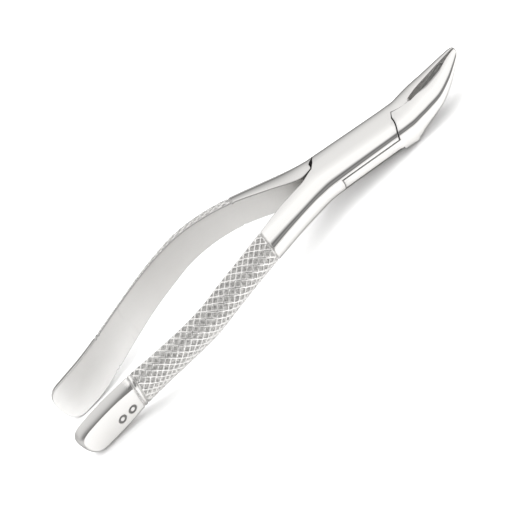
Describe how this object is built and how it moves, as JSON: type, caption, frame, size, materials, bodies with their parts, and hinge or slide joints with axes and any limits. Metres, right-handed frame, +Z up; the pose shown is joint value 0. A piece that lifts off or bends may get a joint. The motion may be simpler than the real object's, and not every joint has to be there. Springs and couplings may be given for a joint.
{
  "type": "extraction forceps",
  "caption": "Slim-beaked root extraction forceps with a box joint, cross-hatched bowed handles and upward-curved pointed beaks.",
  "frame": {"origin": "centre of the footprint on the flat surface that the closed forceps lie on", "axes": "+X along the length towards the beak tips, +Y towards the tongue half's handle, +Z up; the hinge pin leans 9.8 degrees from +Z towards +X"},
  "size_m": [0.1708, 0.0452, 0.0214],
  "materials": {
    "box_half_steel": "satin polished stainless",
    "tongue_half_steel": "satin polished stainless",
    "pin_steel": "ground stainless"
  },
  "bodies": {
    "box_side": {"box_half": "box_half_steel", "hinge_pin": "pin_steel"},
    "tongue_side": {"tongue_half": "tongue_half_steel"}
  },
  "joints": [
    {"name": "forceps_hinge", "type": "hinge", "parent": "box_side", "child": "tongue_side", "pos_m": [0.04113, 0, 0.00756], "axis": [-0.1702, 0, -0.9854], "range_deg": [0, 28]}
  ]
}
